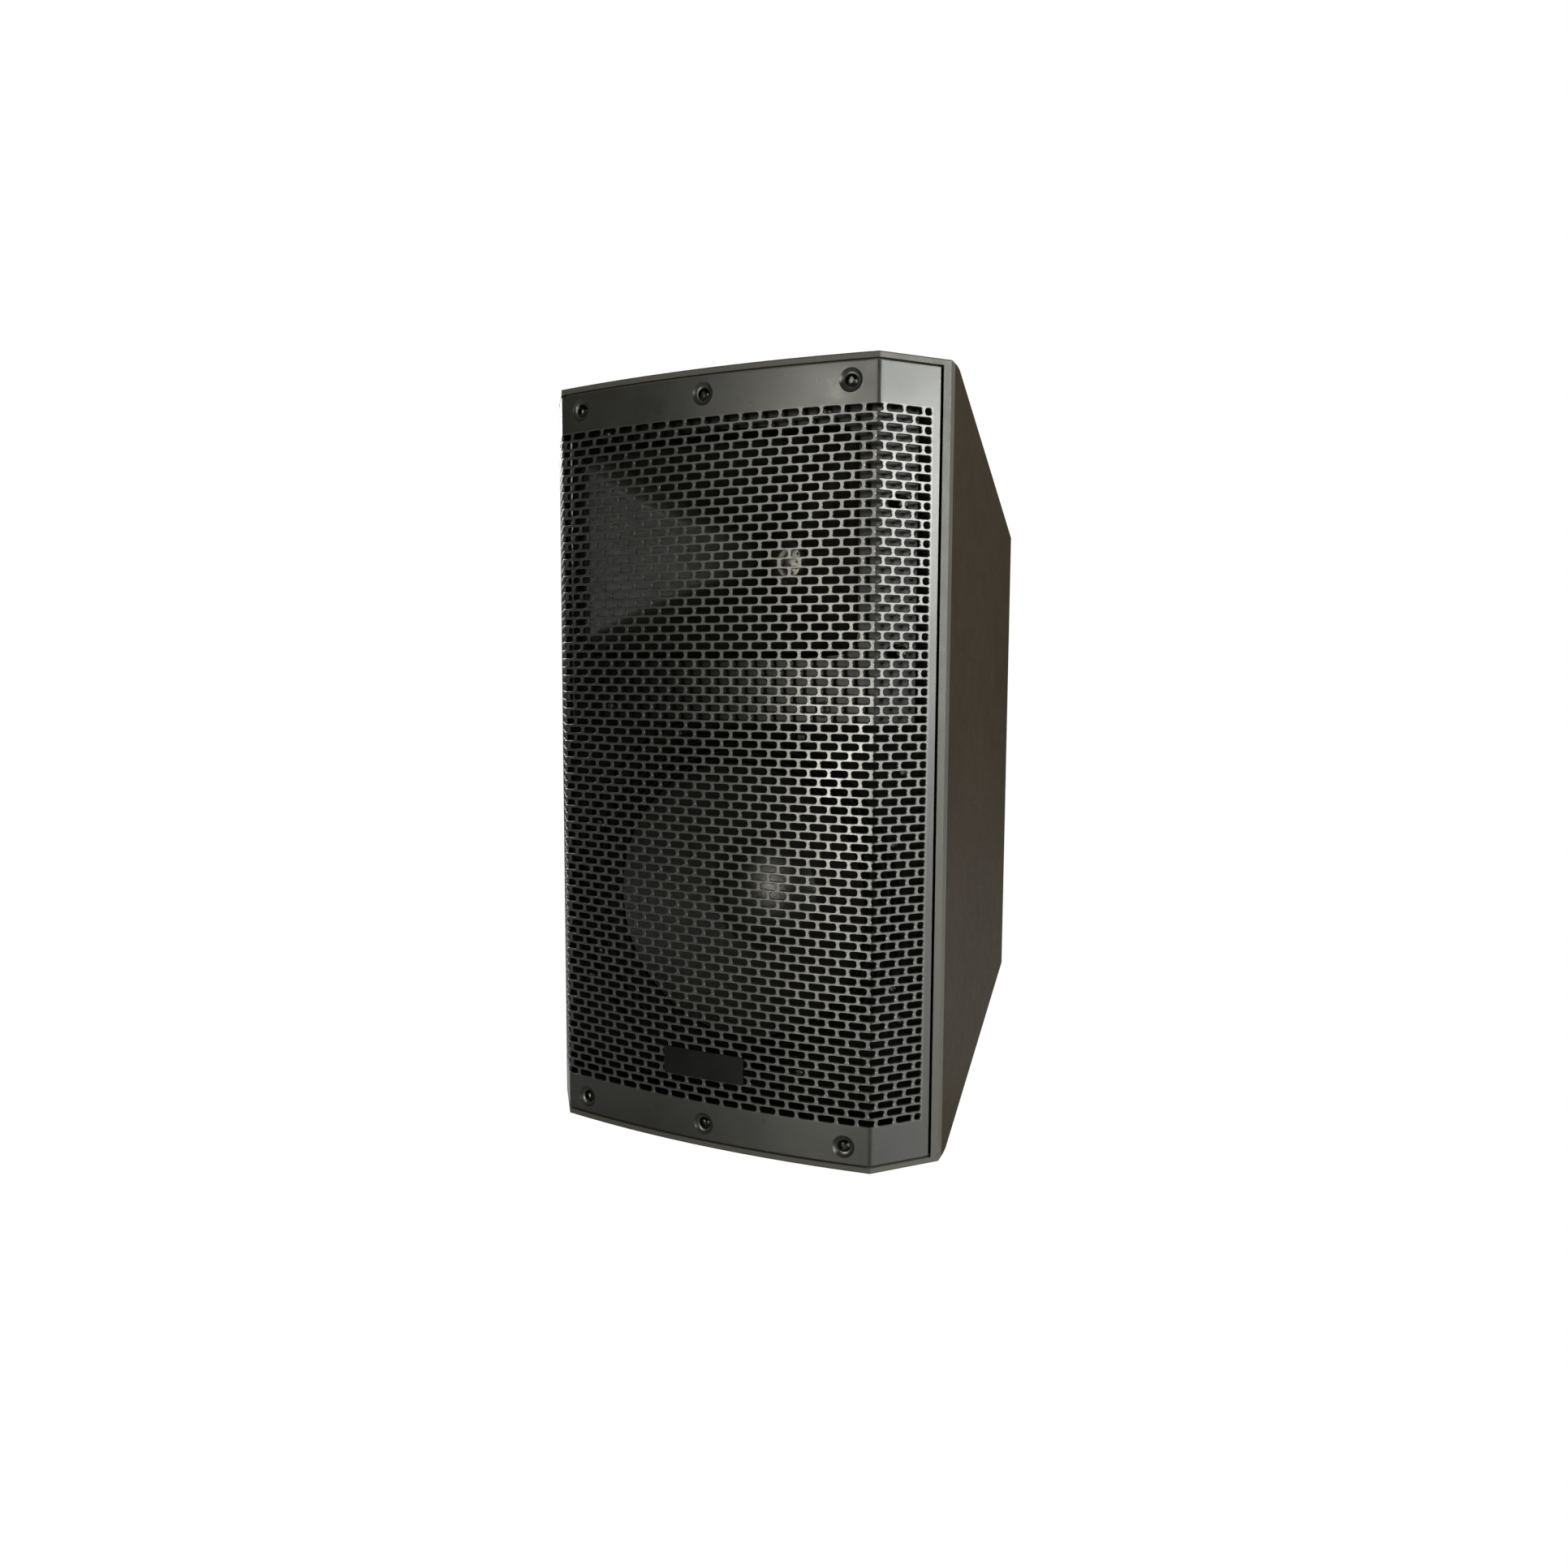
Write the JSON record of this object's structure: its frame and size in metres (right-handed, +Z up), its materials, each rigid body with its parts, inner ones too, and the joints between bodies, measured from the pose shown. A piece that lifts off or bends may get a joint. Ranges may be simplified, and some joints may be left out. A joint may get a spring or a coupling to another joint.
{
  "type": "pa speaker cabinet",
  "caption": "Powered PA speaker cabinet: bowed slotted steel grille over horn and woofer, rear amplifier panel with controls, top handle and pole socket.",
  "frame": {"origin": "on the floor, under the middle of the bounding box", "axes": "+Z up, the front grille faces -Y, the amplifier panel faces +Y, +X is to the right seen from the front"},
  "size_m": [0.35, 0.3462, 0.604],
  "materials": {
    "moulding": "fine texture",
    "grille_powder": "satin powder coat",
    "black_steel": "black oxide",
    "badge": "satin",
    "wadding": "felted",
    "black_plastic": "satin",
    "zinc_steel": "zinc plated",
    "rubber": "matt",
    "cast_aluminium": "black paint",
    "surround_cloth": "doped cloth",
    "cone_paper": "pressed paper",
    "spider_cloth": "resin-set cloth",
    "coil_wire": "enamelled",
    "ferrite": "matt",
    "gasket_foam": "closed-cell foam",
    "horn_plastic": "satin moulding",
    "titanium": "bright",
    "terminal_plastic": "moulded",
    "lead_insulation": "satin",
    "panel_powder": "powder coat",
    "anodised_aluminium": "black anodised",
    "board_laminate": "solder resist",
    "component_case": "sleeved",
    "connector_plastic": "moulded",
    "contact_brass": "nickel flash",
    "knob_plastic": "satin",
    "light_lens": "tinted"
  },
  "bodies": {
    "cabinet": {"amp_cover": "zinc_steel", "amp_panel": "panel_powder", "badge_plate": "badge", "baffle_screws": "black_steel", "board_components": "component_case", "cabinet_screws": "black_steel", "circuit_board": "board_laminate", "combo_jack_1": "connector_plastic", "combo_jack_2": "connector_plastic", "connector_pins": "contact_brass", "control_bodies": "zinc_steel", "damping_pads": "wadding", "driver_gaskets": "gasket_foam", "driver_leads": "lead_insulation", "driver_terminals": "terminal_plastic", "fly_inserts": "zinc_steel", "front_baffle": "moulding", "grille": "grille_powder", "grille_screws": "black_steel", "handle_cup": "black_plastic", "handle_grip": "black_plastic", "heat_sink": "anodised_aluminium", "hf_bolts": "zinc_steel", "hf_cap": "black_plastic", "hf_magnet": "ferrite", "hf_phase_plug": "black_plastic", "hf_suspension": "spider_cloth", "hf_top_plate": "zinc_steel", "hf_yoke": "zinc_steel", "horn_screws": "black_steel", "horn_waveguide": "horn_plastic", "link_output": "connector_plastic", "mains_inlet": "connector_plastic", "mains_transformer": "coil_wire", "panel_screws": "black_steel", "pole_socket": "black_plastic", "port_tubes": "black_plastic", "power_switch": "connector_plastic", "rear_shell": "moulding", "rubber_feet": "rubber", "status_lights": "light_lens", "woofer_back_plate": "zinc_steel", "woofer_frame": "cast_aluminium", "woofer_magnet": "ferrite", "woofer_screws": "black_steel", "woofer_spider": "spider_cloth", "woofer_surround": "surround_cloth", "woofer_top_plate": "zinc_steel"},
    "woofer_motion": {"woofer_cone": "cone_paper", "woofer_dust_cap": "cone_paper", "woofer_voice_coil": "coil_wire"},
    "hf_motion": {"hf_diaphragm": "titanium"},
    "gain_1": {"gain_knob_1": "knob_plastic"},
    "gain_2": {"gain_knob_2": "knob_plastic"},
    "boost": {"boost_button": "knob_plastic"},
    "lift": {"lift_button": "knob_plastic"},
    "latch_1": {"jack_latch_1": "zinc_steel"},
    "latch_2": {"jack_latch_2": "zinc_steel"},
    "rocker": {"power_rocker": "knob_plastic"},
    "fuse_tray": {"fuse_drawer": "connector_plastic"}
  },
  "joints": [
    {"name": "woofer_excursion", "type": "slide", "parent": "cabinet", "child": "woofer_motion", "axis": [0, 1, 0], "range_m": [-0.005, 0.005], "stiffness_N_per_m": 4900, "deforming": ["woofer_surround", "woofer_spider"]},
    {"name": "hf_excursion", "type": "slide", "parent": "cabinet", "child": "hf_motion", "axis": [0, 1, 0], "range_m": [-0.0003, 0.0003], "stiffness_N_per_m": 1500, "deforming": ["hf_suspension"]},
    {"name": "gain_1_turn", "type": "hinge", "parent": "cabinet", "child": "gain_1", "pos_m": [-0.01, 0.1611, 0.25], "axis": [0, 1, 0], "range_deg": [-150, 150]},
    {"name": "gain_2_turn", "type": "hinge", "parent": "cabinet", "child": "gain_2", "pos_m": [-0.01, 0.1611, 0.208], "axis": [0, 1, 0], "range_deg": [-150, 150]},
    {"name": "boost_press", "type": "slide", "parent": "cabinet", "child": "boost", "axis": [0, -1, 0], "range_m": [0, 0.002], "stiffness_N_per_m": 500, "springref_m": -0.002},
    {"name": "lift_press", "type": "slide", "parent": "cabinet", "child": "lift", "axis": [0, -1, 0], "range_m": [0, 0.002], "stiffness_N_per_m": 500, "springref_m": -0.002},
    {"name": "latch_1_press", "type": "slide", "parent": "cabinet", "child": "latch_1", "axis": [0, -1, 0], "range_m": [0, 0.0016], "stiffness_N_per_m": 700, "springref_m": -0.002},
    {"name": "latch_2_press", "type": "slide", "parent": "cabinet", "child": "latch_2", "axis": [0, -1, 0], "range_m": [0, 0.0016], "stiffness_N_per_m": 700, "springref_m": -0.002},
    {"name": "power_rock", "type": "hinge", "parent": "cabinet", "child": "rocker", "pos_m": [-0.018, 0.1601, 0.118], "axis": [1, 0, 0], "range_deg": [-16, 0]},
    {"name": "fuse_pull", "type": "slide", "parent": "cabinet", "child": "fuse_tray", "axis": [0, 1, 0], "range_m": [0, 0.016]}
  ]
}
